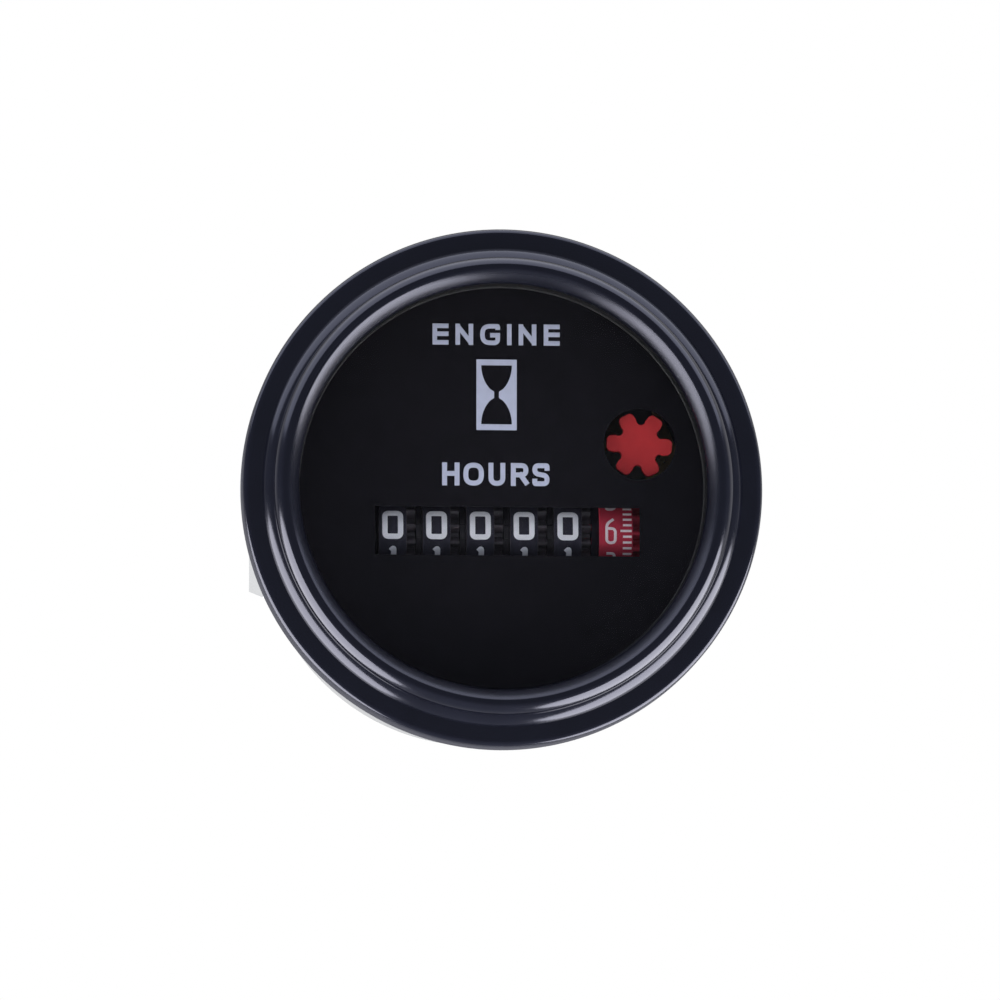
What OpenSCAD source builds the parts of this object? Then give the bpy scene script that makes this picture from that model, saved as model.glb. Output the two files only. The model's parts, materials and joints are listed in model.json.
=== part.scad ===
// Hour meter for a round panel cut-out, in millimetres.
// +X is right seen from the front, +Z is up and the face looks along -Y.
// The origin is the middle of the panel seat, where the gasket meets the panel.

/* [Bezel and lens] */
// Outer diameter of the bezel
bezel_d = 60; // [57:0.5:66]
// Height of the bezel's crest in front of the panel
crest_h = 8.4; // [8:0.1:10]
// Thickness of the rolled bezel metal
bezel_t = 0.7; // [0.5:0.05:0.75]
// Thickness of the lens
lens_t = 2; // [1.5:0.1:2.2]

/* [Case] */
// How far the bezel reaches beyond the land that fills the panel cut-out
rim_overhang = 4.1; // [3.9:0.1:5]
// Length of that land behind the panel seat
land_l = 3; // [2:0.5:6]
// Depth of the case behind the panel seat
case_depth = 41; // [38:0.5:50]
// Wall of the case
case_wall = 1.2; // [0.8:0.1:2]

/* [Clamp] */
// Distance from the panel seat to the feet of the bracket
clamp_gap = 6.5; // [6.2:0.1:10]
// Sheet thickness of the bracket
clamp_t = 1; // [0.8:0.1:2]
// Half width of a bracket leg at its foot
leg_half_foot = 11.7; // [8:0.1:13]
// Half width of the bracket at its strap
strap_half = 6.3; // [5:0.1:8]
// Distance of each stud from the middle
stud_x = 16.5; // [12:0.5:18]

/* [Counter] */
// Radius of the number drums
drum_r = 6.4; // [6:0.1:6.4]
// Distance between neighbouring drums
drum_pitch = 5.05; // [5.05:0.01:5.2]
// Middle of the red drum's numerals, to the right of the axis
tenths_x = 12.75; // [12:0.05:13]
// Height of the counter shaft above the axis
counter_z = -4.9; // [-6:0.1:-4]
// Lift of a zero above the middle of the window, in degrees
zero_lift = 6.5; // [0:0.5:9]
// Reading of the red drum in tenths at the middle of the window
tenths_reading = 6; // [0:0.1:9.9]
// Tooth module of all the counter gears
tooth_m = 0.575; // [0.55:0.005:0.58]

/* [Run indicator] */
// Star centre to the right of the axis
star_x = 15.96; // [15:0.02:17]
// Star centre above the axis
star_z = 5.33; // [4.5:0.01:6]
// Outer radius of the star
star_r = 3.8; // [3.4:0.05:4.1]
// Turn of the star's first tooth, in degrees
star_turn = -4; // [-30:1:30]

/* [Fits] */
// Radial clearance of a running bore
run_fit = 0.05; // [0.02:0.01:0.1]
// Play between meshing teeth along the pitch circle
backlash = 0.2; // [0.1:0.02:0.3]

/* [Hidden] */
$fn = 64;
fine = 180;

// Stack along the axis, front negative, panel seat at zero
gasket_t = 0.8;
lip_t = 0.6;
flange_rear = -gasket_t - lip_t;
flange_t = 1.6;
flange_front = flange_rear - flange_t;
frame_t = 0.8;
dial_t = 0.6;
seal_t = 0.5;
dial_rear = flange_front;
dial_front = dial_rear - dial_t;
seal_front = dial_front - seal_t;
lens_front = seal_front - lens_t;
frame_rear = flange_front + frame_t;

// Bezel profile
rim_r = bezel_d / 2;
rim_round = 0.8;
face_y = -5.4;
flank_easy = 37;
flank_steep = 58;
step_round = 2.9;
step_easy = 27;
step_foot = rim_r - 2.35;
step = [step_foot - step_round * sin(flank_steep), face_y + step_round * cos(flank_steep)];
valley_r = rim_r - 3.5;
crest_round = 0.78;
crest = [rim_r - 4.82, crest_round - crest_h];
flank_round = 2.9;
flank_way = [-sin(flank_easy), cos(flank_easy)];
outer_flank = crest + (flank_round - crest_round) * flank_way;
slope_round = 5;
slope_steep = 55;
slope = crest + (slope_round - crest_round) * [-flank_way[0], flank_way[1]];
throat_r = rim_r - 6.5;
seal_inset = 0.2;
view_r = throat_r - seal_inset;

// Case
land_r = rim_r - rim_overhang;
lip_r = land_r + 0.7;
barrel_r = land_r - 0.3;
bore_r = barrel_r - case_wall;
flange_r = rim_r - bezel_t - 0.3;
mouth_r = land_r + 0.1;
back_inner = case_depth - 1.4;

// Counter shaft and drum widths, measured from the middle of the numerals
counter_y = dial_rear + 0.3 + drum_r;
shaft_r = 1;
carry_left = -2.25;
rim_left = -1.58;
tenths_rim_left = -1.25;
rim_right = 1.6;
gear_right = 2.65;
tenths_rim_right = 2.45;
tenths_gear_right = 3.85;
function drum_x(place) = tenths_x - place * drum_pitch;

// Gears
pressure = 30;
addendum = 0.8 * tooth_m;
dedendum = 1.04 * tooth_m;
drum_teeth = 20;
pinion_teeth = 8;
idler_teeth = 12;
function pitch_r(teeth) = tooth_m * teeth / 2;
tooth_pitch = PI * tooth_m;

// Transfer pinions, behind and below the drums
pinion_way = -30;
pinion_far = pitch_r(drum_teeth) + pitch_r(pinion_teeth);
pinion_y = counter_y + pinion_far * cos(pinion_way);
pinion_z = counter_z + pinion_far * sin(pinion_way);
pinion_shaft_r = 0.7;
pinion_left = 1.75;
pinion_right = 3.32;

// Worm and idler wheel
worm_pitch_r = 2.4;
worm_turns = 3;
arbor_r = 0.75;

// Star
star_front = dial_rear + 0.2;
star_t = 0.9;
star_skin = 0.35;
notch_round = 0.55;
notch_floor = star_r - 1.45;
notch_mouth = 1.35;
idler_z = star_z - worm_pitch_r - pitch_r(idler_teeth);
idler_far = pitch_r(drum_teeth) + pitch_r(idler_teeth);
idler_y = counter_y + sqrt(pow(idler_far, 2) - pow(idler_z - counter_z, 2));
idler_way = atan2(idler_z - counter_z, idler_y - counter_y);
idler_pin_r = 0.8;
idler_half = 0.55;

// Tooth phases, as angles from +Y towards +Z
zero_phase = 180 - zero_lift;
tenths_phase = 180 - 36 * (tenths_reading - round(tenths_reading));
function mate_phase(own, way, own_teeth, mate_teeth) =
    way + 180 - own_teeth / mate_teeth * (own - way + 180 / own_teeth);
pinion_phase = mate_phase(zero_phase, pinion_way, drum_teeth, pinion_teeth);
idler_phase = mate_phase(tenths_phase, idler_way, drum_teeth, idler_teeth);

// Movement frame, motor plate and board
cheek_t = 1.2;
cheek_left = -15.1;
cheek_right = 17;
cheek_top = 0.7;
cheek_bottom = pinion_z - 2;
plate_y = 18;
plate_t = 1.2;
plate_rear = plate_y + plate_t;
post_places = [[-12.5, 13], [5, 17], [0, -17]];
post_r = 1.7;
screw_r = 0.8;
board_y = 33;
board_t = 1.2;
board_rear = board_y + board_t;
board_r = bore_r - 2.4;
motor_gap = 1.68;
motor_r = bore_r - norm([star_x, star_z]) - motor_gap;
motor_rear = 30.2;
star_way = atan2(star_z, star_x);
ear_far = motor_r + 1.8;

// Terminals
terminal_x = 7;
terminal_z = 13;
blade_w = 6.3;
blade_t = 0.8;
blade_end = case_depth + 10;
blade_nose = 1.5;
latch_back = 3.6;
latch_r = 0.9;
plug_half_w = terminal_x + blade_w / 2 + 2.05;
plug_half_h = blade_t / 2 + 2.8;
plug_brim = 1;

// Clamp
stud_r = 2;
bend_r = 8;
leg_in = barrel_r + 0.3;
leg_out = leg_in + clamp_t;
strap_front = case_depth + 5;
strap_rear = strap_front + clamp_t;
washer_t = 0.8;
nut_t = 3.2;
nut_flats = 7;
stud_end = strap_rear + washer_t + nut_t + 3;

// Colours
black = [0.06, 0.06, 0.07];
red = [0.65, 0.15, 0.17];
zinc = [0.82, 0.83, 0.84];
brass = [0.78, 0.65, 0.35];
steel = [0.6, 0.6, 0.62];
rubber = [0.1, 0.1, 0.1];

// Helpers: turned about the axis, drawn as seen from the front, drawn as seen from the right
module turned() rotate([-90, 0, 0]) rotate_extrude($fn = fine) children();
module facing(front, rear)
    translate([0, rear, 0]) rotate([90, 0, 0]) linear_extrude(rear - front) children();
module across(left, right)
    translate([left, 0, 0]) rotate([90, 0, 90]) linear_extrude(right - left) children();
module rod_y(x, z, front, rear, r) translate([x, front, z]) rotate([-90, 0, 0]) cylinder(rear - front, r, r);
module rod_x(y, z, left, right, r) translate([left, y, z]) rotate([0, 90, 0]) cylinder(right - left, r, r);
module ring(outer, inner, front, rear)
    turned() translate([inner, front]) square([outer - inner, rear - front]);

function arc(centre, r, from, to, steps) =
    [for (i = [0:steps]) let (a = from + (to - from) * i / steps) centre + r * [cos(a), sin(a)]];

// Involute gear outline
function inv(a) = tan(a) * 180 / PI - a;
function tooth_half(r, teeth) = (tooth_pitch / 2 - backlash / 2) / pitch_r(teeth) * 90 / PI
    + inv(pressure) - inv(acos(min(1, pitch_r(teeth) * cos(pressure) / r)));
function polar(r, a) = r * [cos(a), sin(a)];
function gear_outline(teeth, phase, flank = 4) =
    let (tip = pitch_r(teeth) + addendum,
        root = pitch_r(teeth) - dedendum,
        start = max(root, pitch_r(teeth) * cos(pressure)),
        radii = [for (i = [0:flank]) start + (tip - start) * i / flank],
        foot = tooth_half(start, teeth))
    [for (k = [0:teeth - 1]) let (mid = phase + k * 360 / teeth) each concat(
        start > root ? [polar(root, mid - foot)] : [],
        [for (r = radii) polar(r, mid - tooth_half(r, teeth))],
        [for (i = [flank:-1:0]) polar(radii[i], mid + tooth_half(radii[i], teeth))],
        start > root ? [polar(root, mid + foot)] : [])];

// Front
module bezel() color(black) turned() polygon(concat(
    [[lip_r, -gasket_t]],
    arc([rim_r - bezel_t, -gasket_t - bezel_t], bezel_t, 90, 0, 6),
    arc([rim_r - rim_round, face_y + rim_round], rim_round, 0, -90, 8),
    [[step_foot, face_y]],
    arc(step, step_round, flank_steep - 90, step_easy - 90, 8),
    arc(outer_flank, flank_round, flank_steep - 90, flank_easy - 90, 6),
    arc(crest, crest_round, flank_easy - 90, -90 - flank_easy, 6),
    arc(slope, slope_round, -90 - flank_easy, -90 - slope_steep, 6),
    [[throat_r, lens_front - 0.8], [throat_r, lens_front], [throat_r + bezel_t, lens_front]],
    arc(slope, slope_round - bezel_t, -90 - slope_steep, -90 - flank_easy, 4),
    arc(outer_flank, flank_round - bezel_t, flank_easy - 90, flank_steep - 90, 6),
    [[valley_r - 0.7, lens_front - 0.4]],
    arc(step, step_round - bezel_t, step_easy - 90, flank_steep - 90, 6),
    [[rim_r - 2.95, face_y + bezel_t], [rim_r - 1, face_y + bezel_t]],
    [[rim_r - bezel_t, face_y + 0.9], [rim_r - bezel_t, flange_rear], [lip_r, flange_rear]]));

module lens() color([0.9, 0.95, 1, 0.15])
    rod_y(0, 0, lens_front, seal_front, valley_r - 0.9, $fn = fine);

module lens_seal() color(rubber) ring(rim_r - 3, view_r, seal_front, dial_front);

module dial() color(black) facing(dial_front, dial_rear) difference() {
    circle(rim_r - 3, $fn = fine);
    translate([drum_x(5) - 2.1, counter_z - 2.8]) square([tenths_x + 5.3 - drum_x(5), 5.65]);
    translate([star_x, star_z]) circle(star_r + 0.35);
}

module panel_gasket() color(rubber) ring(rim_r - 1.2, land_r + 0.3, -gasket_t, 0);

// Case and its fittings
module case() color(zinc) difference() {
    turned() polygon(concat(
        [[mouth_r, flange_front], [flange_r, flange_front]],
        [[flange_r, flange_rear], [barrel_r, flange_rear]],
        [[barrel_r, 0], [land_r, 0], [land_r, land_l], [barrel_r, land_l + 0.3]],
        arc([barrel_r - 1.5, case_depth - 1.5], 1.5, 0, 90, 6),
        [[0, case_depth], [0, back_inner], [bore_r - 1, back_inner], [bore_r, back_inner - 1]],
        [[bore_r, frame_rear], [mouth_r, frame_rear]]));
    facing(back_inner - 1, case_depth + 1) insulator_plug();
}

module insulator_plug(brim = 0) translate([0, terminal_z])
    square([2 * (plug_half_w + brim), 2 * (plug_half_h + brim)], center = true);
module blade_slots() for (side = [-1, 1])
    translate([side * terminal_x - blade_w / 2, terminal_z - blade_t / 2]) square([blade_w, blade_t]);

module terminal_insulator() color(black) {
    facing(case_depth, case_depth + 2) difference() {
        insulator_plug(plug_brim);
        blade_slots();
    }
    facing(back_inner, case_depth) difference() {
        insulator_plug();
        blade_slots();
    }
}

module terminal(x) color(brass) translate([x, 0, terminal_z - blade_t / 2]) linear_extrude(blade_t)
    difference() {
        polygon([[-blade_w / 2, board_rear], [blade_w / 2, board_rear],
            [blade_w / 2, blade_end - blade_nose], [blade_w / 2 - 1.4, blade_end],
            [1.4 - blade_w / 2, blade_end], [-blade_w / 2, blade_end - blade_nose]]);
        translate([0, blade_end - latch_back]) circle(latch_r);
    }

module stud(x) color(zinc) {
    rod_y(x, 0, case_depth, stud_end, stud_r);
    rod_y(x, 0, case_depth, case_depth + 0.8, stud_r + 1.2);
}

// Bracket seen from above: strap, two bends and two legs, with the legs' taper cut from the side
module clamp_bracket() color(zinc) difference() {
    translate([0, 0, -leg_half_foot]) linear_extrude(2 * leg_half_foot) difference() {
        clamp_outline(leg_out, strap_rear, bend_r);
        clamp_outline(leg_in, strap_front, bend_r - clamp_t);
    }
    for (side = [-1, 1]) across(-leg_out - 1, leg_out + 1) polygon([
        [clamp_gap - 1, side * (leg_half_foot + 1)], [strap_rear + 1, side * (leg_half_foot + 1)],
        [strap_rear + 1, side * strap_half], [clamp_gap, side * leg_half_foot],
        [clamp_gap - 1, side * leg_half_foot]]);
    for (side = [-1, 1]) rod_y(side * stud_x, 0, strap_front - 1, strap_rear + 1, stud_r + 0.25);
}

module clamp_outline(half, rear, bend) {
    translate([-half, clamp_gap]) square([2 * half, rear - bend - clamp_gap]);
    translate([-half + bend, clamp_gap]) square([2 * (half - bend), rear - clamp_gap]);
    for (side = [-1, 1]) translate([side * (half - bend), rear - bend]) circle(bend);
}

module washer(x) color(zinc) facing(strap_rear, strap_rear + washer_t) translate([x, 0]) difference() {
    circle(4.4);
    circle(stud_r + 0.2);
}

module nut(x) color(zinc) facing(strap_rear + washer_t, strap_rear + washer_t + nut_t) translate([x, 0])
    difference() {
        circle(nut_flats / sqrt(3), $fn = 6);
        circle(stud_r, $fn = 64);
    }

// Movement frame: plate behind the dial, cheeks for the shafts, posts for the motor plate
module movement_frame() color(black) difference() {
    union() {
        facing(flange_front, frame_rear) difference() {
            circle(mouth_r - 0.1, $fn = fine);
            translate([cheek_left, counter_z - 3.5]) square([cheek_right - cheek_left, 7]);
            translate([star_x, star_z]) circle(star_r + 0.6);
        }
        across(cheek_left - cheek_t, cheek_left) cheek_outline();
        across(cheek_right, cheek_right + cheek_t) cheek_outline();
        for (p = post_places) rod_y(p[0], p[1], frame_rear, plate_y, post_r);
    }
    rod_x(counter_y, counter_z, cheek_left - 3, cheek_right + 3, shaft_r);
    rod_x(pinion_y, pinion_z, cheek_left - 3, cheek_right + 3, pinion_shaft_r);
    rod_x(idler_y, idler_z, cheek_right - 1, cheek_right + 3, idler_pin_r);
    for (p = post_places) rod_y(p[0], p[1], plate_y - 5, plate_y + 1, screw_r);
    rod_y(star_x, star_z + 5.7, flange_front - 1, frame_rear + 1, screw_r);
}

module cheek_outline() translate([frame_rear, cheek_bottom])
    square([plate_y - frame_rear, cheek_top - cheek_bottom]);

module counter_shaft() color(steel)
    rod_x(counter_y, counter_z, cheek_left - cheek_t - 0.8, cheek_right + cheek_t + 0.8, shaft_r);
module pinion_shaft() color(steel)
    rod_x(pinion_y, pinion_z, cheek_left - cheek_t - 0.8, cheek_right + cheek_t + 0.8, pinion_shaft_r);
module shaft_clips() color(steel)
    for (left = [cheek_left - cheek_t - 0.5, cheek_right + cheek_t]) across(left, left + 0.5) {
        translate([counter_y, counter_z]) difference() {
            circle(2.1);
            circle(shaft_r);
        }
        translate([pinion_y, pinion_z]) difference() {
            circle(1.6);
            circle(pinion_shaft_r);
        }
    }

// Drums, drawn about the counter shaft
module drum(x, rim_start, rim_end, gear_end, phase, carries)
translate([x, counter_y, counter_z]) difference() {
    union() {
        across(rim_start, rim_end) circle(drum_r, $fn = fine);
        across(rim_end, gear_end) polygon(gear_outline(drum_teeth, phase));
        across(carry_left, rim_start) carry_outline(phase, carries);
    }
    rod_x(0, 0, carry_left - 1, gear_end + 1, shaft_r + run_fit);
}

// Carry disc with its two teeth, kept clear of the pinion's tips
module carry_outline(phase, carries) {
    circle(carries ? 4.85 : 2.2);
    if (carries) for (a = [-9, 9]) rotate(phase + a) translate([4.5, -0.35]) square([0.6, 0.7]);
}

module black_drum(place) color(black)
    drum(drum_x(place), rim_left, rim_right, gear_right, zero_phase, place < 5);
module tenths_drum() color(red)
    drum(tenths_x, tenths_rim_left, tenths_rim_right, tenths_gear_right, tenths_phase, true);
module units_drum() black_drum(1);
module tens_drum() black_drum(2);
module hundreds_drum() black_drum(3);
module thousands_drum() black_drum(4);
module ten_thousands_drum() black_drum(5);

module pinion(place) color([0.85, 0.85, 0.82]) translate([drum_x(place), pinion_y, pinion_z])
    across(pinion_left, pinion_right) difference() {
        polygon(gear_outline(pinion_teeth, pinion_phase));
        circle(pinion_shaft_r + run_fit);
    }

// Star, arbor and worm
module run_indicator() color(red) difference() {
    facing(star_front, star_front + star_t) translate([star_x, star_z]) difference() {
        circle(star_r);
        for (k = [0:5]) rotate(star_turn + 30 + 60 * k) star_notch();
    }
    rod_y(star_x, star_z, star_front + star_skin, star_front + star_t + 1, arbor_r);
}

// Notch between two teeth: a round floor that opens outwards
module star_notch() {
    translate([notch_floor + notch_round, 0]) circle(notch_round, $fn = 32);
    polygon([[notch_floor + notch_round, -notch_round], [star_r + 0.2, -notch_mouth],
        [star_r + 0.2, notch_mouth], [notch_floor + notch_round, notch_round]]);
}

module indicator_arbor() color(steel) 
    rod_y(star_x, star_z, star_front + star_skin, plate_rear + 1, arbor_r);

// Single-start worm: its section is the axial rack profile bent once round
worm_left = idler_y - worm_turns * tooth_pitch / 2;
worm_right = idler_y + worm_turns * tooth_pitch / 2;
worm_half = (tooth_pitch / 2 - backlash / 2) / 2;
worm_shift = -pitch_r(idler_teeth) * (idler_phase - 90 + 180 / idler_teeth) * PI / 180;
worm_turn = 90 - 360 * (idler_y + worm_shift - worm_left) / tooth_pitch;
function worm_r(turn) = worm_pitch_r
    + min(addendum, max(-dedendum, (worm_half - abs(turn) * tooth_pitch / 360) / tan(pressure)));
module drive_worm() color(brass) difference() {
    translate([star_x, worm_left, star_z]) rotate([-90, 0, 0]) rotate(worm_turn)
        linear_extrude(worm_turns * tooth_pitch, twist = -360 * worm_turns, slices = 16 * worm_turns)
            polygon([for (a = [-180:15:165]) polar(worm_r(a), a)]);
    rod_y(star_x, star_z, worm_left - 1, worm_right + 1, arbor_r);
}

module idler_wheel() color([0.85, 0.85, 0.82]) translate([star_x, idler_y, idler_z]) difference() {
    union() {
        across(-idler_half, idler_half) polygon(gear_outline(idler_teeth, idler_phase));
        across(idler_half, cheek_right - star_x - 0.1) circle(1.8);
    }
    rod_x(0, 0, -2, 2, idler_pin_r + run_fit);
}

module idler_pin() color(steel) {
    rod_x(idler_y, idler_z, star_x - idler_half - 0.6, cheek_right + cheek_t, idler_pin_r);
    rod_x(idler_y, idler_z, star_x - idler_half - 0.6, star_x - idler_half - 0.1, idler_pin_r + 0.6);
}

// Bearing strap behind the star
module indicator_cock() color(brass) difference() {
    translate([star_x - 1.6, 0, star_z]) union() {
        translate([0, frame_rear + 1, -1.8]) cube([3.2, 1.2, 9.1]);
        translate([0, frame_rear, 4.6]) cube([3.2, 1, 2.7]);
    }
    rod_y(star_x, star_z, frame_rear - 1, frame_rear + 4, arbor_r + run_fit);
    rod_y(star_x, star_z + 5.7, frame_rear - 1, frame_rear + 4, screw_r);
}

module cock_screw() color(steel) screw(star_x, star_z + 5.7, frame_rear + 2.2, frame_rear + 2.2 - 2.6);

// Screw with its head behind seat and its shank reaching forward to tip
module screw(x, z, seat, tip) {
    rod_y(x, z, tip, seat, screw_r);
    rod_y(x, z, seat, seat + 0.8, screw_r + 0.7);
}

// Motor plate, motor and board
function ear_place(side) =
    [star_x - side * ear_far * sin(star_way), star_z + side * ear_far * cos(star_way)];

module motor_plate() color(brass) facing(plate_y, plate_rear) difference() {
    circle(bore_r - 1, $fn = fine);
    translate([star_x, star_z]) circle(2.4);
    for (p = post_places) translate(p) circle(screw_r);
    for (side = [-1, 1]) translate(ear_place(side)) circle(screw_r);
}

module gear_motor() color(zinc) difference() {
    union() {
        rod_y(star_x, star_z, plate_y + 0.2, plate_rear, 2.4);
        rod_y(star_x, star_z, plate_rear, motor_rear, motor_r);
        for (side = [-1, 1])
            rod_y(ear_place(side)[0], ear_place(side)[1], plate_rear, plate_rear + 0.8, 1.9);
    }
    rod_y(star_x, star_z, plate_y, plate_rear + 1.1, arbor_r + run_fit);
    for (side = [-1, 1]) rod_y(ear_place(side)[0], ear_place(side)[1], plate_y, plate_rear + 2, screw_r);
}

module motor_screws() color(steel) for (side = [-1, 1])
    screw(ear_place(side)[0], ear_place(side)[1], plate_rear + 0.8, plate_y);

module motor_pins() color(brass) for (side = [-1, 1])
    rod_y(star_x - 2, star_z + side * 2.5, motor_rear, board_rear + 0.5, 0.4);

module board_pillars() color(brass) for (p = post_places) difference() {
    union() {
        rod_y(p[0], p[1], plate_rear, board_y, 2);
        rod_y(p[0], p[1], plate_y - 5, plate_rear, screw_r);
    }
    rod_y(p[0], p[1], board_y - 5, board_y + 1, screw_r);
}

module circuit_board() color([0.12, 0.35, 0.2]) facing(board_y, board_rear) difference() {
    circle(board_r, $fn = fine);
    for (p = post_places) translate(p) circle(screw_r);
    for (side = [-1, 1]) translate([star_x - 2, star_z + side * 2.5]) circle(0.4);
}

module board_screws() color(steel) for (p = post_places) screw(p[0], p[1], board_rear, board_y - 5);

// Parts soldered to the front of the board
module crystal_can() color(zinc) facing(board_y - 3.5, board_y) translate([-15, -4]) {
    translate([0, 2]) square([7, 4.6 - 0.6]);
    for (end = [0, 7]) translate([end, 4]) circle(2);
}
module driver_chip() color(black) facing(board_y - 1.6, board_y) translate([-4.5, -3]) square([6, 5]);
module capacitor() color([0.15, 0.2, 0.35]) rod_y(-8, 6, board_y - 8, board_y, 3.2);
module diode() color(black) facing(board_y - 2.4, board_y) translate([-9, -12]) square([4.5, 2.6]);
module resistors() color([0.75, 0.65, 0.5]) for (x = [-1, 4])
    facing(board_y - 1.8, board_y) translate([x, -10]) square([1.8, 4.2]);

module terminal_left() terminal(-terminal_x);
module terminal_right() terminal(terminal_x);
module stud_left() stud(-stud_x);
module stud_right() stud(stud_x);
module washer_left() washer(-stud_x);
module washer_right() washer(stud_x);
module nut_left() nut(-stud_x);
module nut_right() nut(stud_x);

bezel();
lens();
lens_seal();
dial();
panel_gasket();
case();
movement_frame();
counter_shaft();
pinion_shaft();
shaft_clips();
tenths_drum();
units_drum();
tens_drum();
hundreds_drum();
thousands_drum();
ten_thousands_drum();
pinion(1);  // pinion_units
pinion(2);  // pinion_tens
pinion(3);  // pinion_hundreds
pinion(4);  // pinion_thousands
pinion(5);  // pinion_ten_thousands
run_indicator();
indicator_arbor();
drive_worm();
idler_wheel();
idler_pin();
indicator_cock();
cock_screw();
motor_plate();
gear_motor();
motor_screws();
motor_pins();
board_pillars();
circuit_board();
board_screws();
crystal_can();
driver_chip();
capacitor();
diode();
resistors();
terminal_left();
terminal_right();
terminal_insulator();
stud_left();
stud_right();
clamp_bracket();
washer_left();
washer_right();
nut_left();
nut_right();
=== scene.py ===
# %% [markdown]
# # A panel hour meter, dressed for its picture
# The CAD model already has every piece in its place. This script keeps that
# frame, gives each piece the finish it has on a real meter, and rebuilds the
# pieces whose curves are seen closely. Lengths on the meter are written in
# millimetres and turned into metres by one factor.

# %% Load the CAD frame
import json
import math

import bmesh
import bpy
from mathutils import Matrix, Vector


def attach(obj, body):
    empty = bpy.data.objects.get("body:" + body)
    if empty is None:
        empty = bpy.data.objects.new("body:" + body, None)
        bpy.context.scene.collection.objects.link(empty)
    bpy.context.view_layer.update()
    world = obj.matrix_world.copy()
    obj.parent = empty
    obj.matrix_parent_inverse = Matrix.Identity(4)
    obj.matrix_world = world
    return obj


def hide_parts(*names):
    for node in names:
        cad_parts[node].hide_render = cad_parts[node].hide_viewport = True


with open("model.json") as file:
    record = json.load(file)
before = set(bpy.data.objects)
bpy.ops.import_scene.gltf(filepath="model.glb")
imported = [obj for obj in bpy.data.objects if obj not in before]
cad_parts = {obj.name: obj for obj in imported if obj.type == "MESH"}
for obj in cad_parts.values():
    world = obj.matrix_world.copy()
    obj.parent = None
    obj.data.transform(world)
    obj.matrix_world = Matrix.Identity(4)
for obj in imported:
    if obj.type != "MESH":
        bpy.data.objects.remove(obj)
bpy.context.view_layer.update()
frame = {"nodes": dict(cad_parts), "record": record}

MM = 0.001
nodes = frame["nodes"]

# %% [markdown]
# ## Surface finishes
# No real surface has one flat colour. Paint has a little orange peel, moulded
# plastic a fine spark texture, and rolled metal a grain along its sheet. One
# helper builds them all: a noise in object space shifts the colour and the
# roughness, and a finer one raises a slight bump. Stretching the noise along
# an axis turns the speckle into a grain.

# %% A helper for finishes
CLOUD_DETAIL = 4
RAMP_START = 0.3
RAMP_END = 0.7
SMOOTHEST = 0.8
ROUGHEST = 1.25
PORES_PER_CLOUD = 4
PORE_DETAIL = 2
PORE_DEPTH = 0.02


def finish(name, colour, rough, grain, tint=0.2, bump=0.1, metal=0.0, stretch=(1, 1, 1), gloss=0.5):
    made = bpy.data.materials.new(name)
    made.use_nodes = True
    tree = made.node_tree
    shader = tree.nodes["Principled BSDF"]
    place = tree.nodes.new("ShaderNodeTexCoord")
    scale = tree.nodes.new("ShaderNodeMapping")
    scale.inputs["Scale"].default_value = stretch
    tree.links.new(place.outputs["Object"], scale.inputs["Vector"])

    cloud = tree.nodes.new("ShaderNodeTexNoise")
    cloud.inputs["Scale"].default_value = grain
    cloud.inputs["Detail"].default_value = CLOUD_DETAIL
    tree.links.new(scale.outputs["Vector"], cloud.inputs["Vector"])
    shade = tree.nodes.new("ShaderNodeValToRGB")
    darker = shade.color_ramp.elements[0]
    darker.position = RAMP_START
    darker.color = [part * (1 - tint) for part in colour] + [1]
    paler = shade.color_ramp.elements[1]
    paler.position = RAMP_END
    paler.color = [min(1, part * (1 + tint)) for part in colour] + [1]
    tree.links.new(cloud.outputs["Fac"], shade.inputs["Fac"])
    tree.links.new(shade.outputs["Color"], shader.inputs["Base Color"])

    sheen = tree.nodes.new("ShaderNodeMapRange")
    sheen.inputs["To Min"].default_value = rough * SMOOTHEST
    sheen.inputs["To Max"].default_value = min(1, rough * ROUGHEST)
    tree.links.new(cloud.outputs["Fac"], sheen.inputs["Value"])
    tree.links.new(sheen.outputs["Result"], shader.inputs["Roughness"])

    pores = tree.nodes.new("ShaderNodeTexNoise")
    pores.inputs["Scale"].default_value = grain * PORES_PER_CLOUD
    pores.inputs["Detail"].default_value = PORE_DETAIL
    tree.links.new(scale.outputs["Vector"], pores.inputs["Vector"])
    relief = tree.nodes.new("ShaderNodeBump")
    relief.inputs["Strength"].default_value = bump
    relief.inputs["Distance"].default_value = PORE_DEPTH * MM
    tree.links.new(pores.outputs["Fac"], relief.inputs["Height"])
    tree.links.new(relief.outputs["Normal"], shader.inputs["Normal"])

    shader.inputs["Metallic"].default_value = metal
    shader.inputs["Specular IOR Level"].default_value = gloss
    return made


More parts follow.
